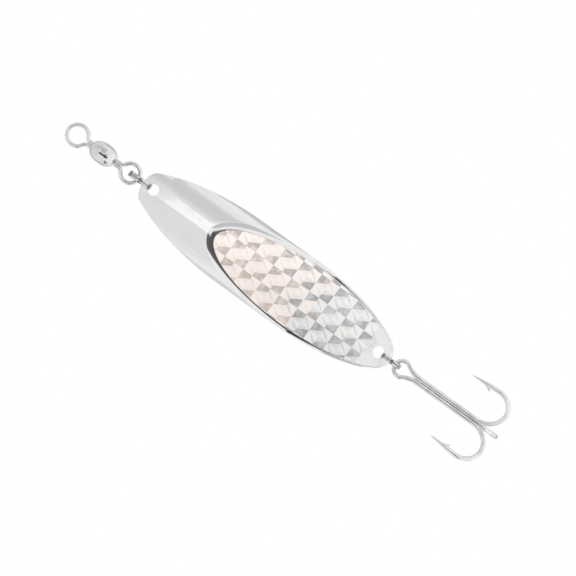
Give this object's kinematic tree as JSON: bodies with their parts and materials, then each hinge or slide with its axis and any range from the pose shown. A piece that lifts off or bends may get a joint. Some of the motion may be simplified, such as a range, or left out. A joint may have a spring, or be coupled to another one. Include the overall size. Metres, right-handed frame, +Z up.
{
  "type": "spoon lure",
  "caption": "Casting spoon: barrel swivel, split ring, plated bar-cut body with prism tape on one flat, tail split ring and treble hook.",
  "frame": {"origin": "centre of the line eye's loop", "axes": "+Z up the lure towards the line as it hangs, -Y out of the taped flat, X across the width"},
  "size_m": [0.0186, 0.0161, 0.1223],
  "materials": {
    "swivel_wire": "nickel plated brass wire, bright",
    "swivel_shell": "nickel plated brass, tumbled bright",
    "ring_wire": "spring wire, nickel plated",
    "body_plate": "chrome plated brass, mirror bright with soft polishing lines",
    "prism_film": "clear gloss over pearl prism facets",
    "hook_wire": "bronzed steel wire, bright nickel plated",
    "braze_metal": "brazing under the same nickel plate"
  },
  "bodies": {
    "line_eye": {"line_eye": "swivel_wire"},
    "barrel": {"swivel_barrel": "swivel_shell"},
    "lure_eye": {"lure_eye": "swivel_wire"},
    "head_ring": {"head_split_ring": "ring_wire"},
    "spoon": {"spoon_body": "body_plate", "prism_tape": "prism_film"},
    "tail_ring": {"tail_split_ring": "ring_wire"},
    "treble": {"double_hook": "hook_wire", "single_hook": "hook_wire", "hook_brazing": "braze_metal"}
  },
  "joints": [
    {"name": "barrel_spin", "type": "hinge", "parent": "line_eye", "child": "barrel", "pos_m": [0, 0, -0.00725], "axis": [0, 0, 1], "continuous": true},
    {"name": "lure_eye_spin", "type": "hinge", "parent": "barrel", "child": "lure_eye", "pos_m": [0, 0, -0.00725], "axis": [0, 0, 1], "continuous": true},
    {"name": "head_ring_swing", "type": "hinge", "parent": "lure_eye", "child": "head_ring", "pos_m": [0, 0, -0.0146], "axis": [0, 1, 0], "range_deg": [-90, 90]},
    {"name": "spoon_swing", "type": "hinge", "parent": "head_ring", "child": "spoon", "pos_m": [0, 0, -0.01929], "axis": [1, 0, 0], "range_deg": [-90, 90]},
    {"name": "tail_ring_swing", "type": "hinge", "parent": "spoon", "child": "tail_ring", "pos_m": [0, 0, -0.08746], "axis": [1, 0, 0], "range_deg": [-90, 90]},
    {"name": "treble_swing", "type": "hinge", "parent": "tail_ring", "child": "treble", "pos_m": [0, 0, -0.0911], "axis": [0, 1, 0], "range_deg": [-90, 90]}
  ]
}
